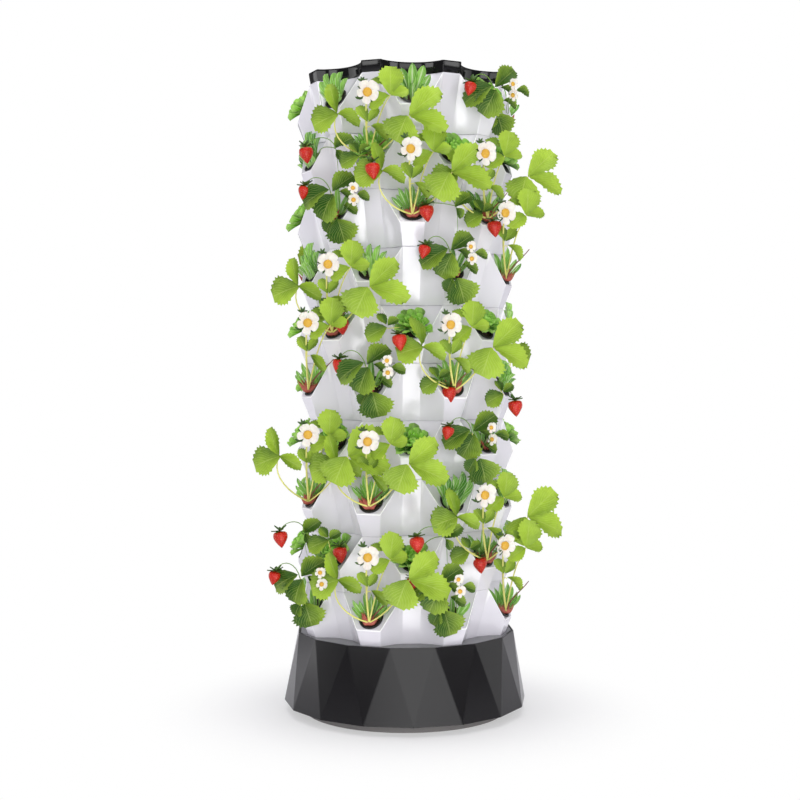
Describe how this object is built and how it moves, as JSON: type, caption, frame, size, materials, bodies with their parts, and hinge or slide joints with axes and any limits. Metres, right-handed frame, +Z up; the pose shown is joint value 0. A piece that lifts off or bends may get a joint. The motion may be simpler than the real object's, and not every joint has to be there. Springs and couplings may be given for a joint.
{
  "type": "vertical planter tower",
  "caption": "Round tower of stacked scalloped planter layers with tilted pockets, on a faceted water reservoir with a pump, riser and flat scalloped lid, planted with strawberries.",
  "frame": {"origin": "on the floor, on the tower's vertical axis", "axes": "+Z up the tower, -Y towards the front"},
  "size_m": [0.6872, 0.6463, 1.454],
  "materials": {
    "foot_plastic": "satin black",
    "tank_plastic": "satin charcoal",
    "deck_plastic": "matt grey",
    "cap_plastic": "matt black",
    "lid_plastic": "gloss black",
    "white_plastic": "satin white",
    "pump_plastic": "matt black",
    "steel": "ground",
    "rubber": "matt",
    "leaf": "soft green leaf"
  },
  "bodies": {
    "tower": {"foot_ring": "foot_plastic", "reservoir_tank": "tank_plastic", "reservoir_deck": "deck_plastic", "pump_housing": "pump_plastic", "pump_strainer": "pump_plastic", "pump_shaft": "steel", "pump_cable_gland": "rubber", "water_distributor": "white_plastic", "drip_tray": "white_plastic", "pump_foot_front_left": "rubber", "pump_foot_front_right": "rubber", "pump_foot_rear_left": "rubber", "pump_foot_rear_right": "rubber", "riser_pipe_1": "white_plastic", "riser_pipe_2": "white_plastic", "riser_pipe_3": "white_plastic", "riser_sleeve_1": "white_plastic", "riser_sleeve_2": "white_plastic", "planter_layer_01": "white_plastic", "planter_layer_02": "white_plastic", "planter_layer_03": "white_plastic", "planter_layer_04": "white_plastic", "planter_layer_05": "white_plastic", "planter_layer_06": "white_plastic", "planter_layer_07": "white_plastic", "planter_layer_08": "white_plastic", "planter_layer_09": "white_plastic", "planter_layer_10": "white_plastic", "strawberry_plant_01": "leaf", "strawberry_plant_02": "leaf", "strawberry_plant_03": "leaf", "strawberry_plant_04": "leaf", "strawberry_plant_05": "leaf", "strawberry_plant_06": "leaf", "strawberry_plant_07": "leaf", "strawberry_plant_08": "leaf", "strawberry_plant_09": "leaf", "strawberry_plant_10": "leaf", "strawberry_plant_11": "leaf", "strawberry_plant_12": "leaf", "strawberry_plant_13": "leaf", "strawberry_plant_14": "leaf", "strawberry_plant_15": "leaf", "strawberry_plant_16": "leaf"},
    "lid": {"top_lid": "lid_plastic"},
    "cap": {"fill_cap": "cap_plastic"},
    "impeller": {"pump_impeller": "white_plastic"}
  },
  "joints": [
    {"name": "lid_lift", "type": "slide", "parent": "tower", "child": "lid", "axis": [0, 0, 1], "range_m": [0, 0.08]},
    {"name": "cap_lift", "type": "slide", "parent": "tower", "child": "cap", "axis": [0, 0, 1], "range_m": [0, 0.02]},
    {"name": "impeller_spin", "type": "hinge", "parent": "tower", "child": "impeller", "pos_m": [0, -0.0231, 0.0586], "axis": [0, -1, 0], "continuous": true}
  ]
}
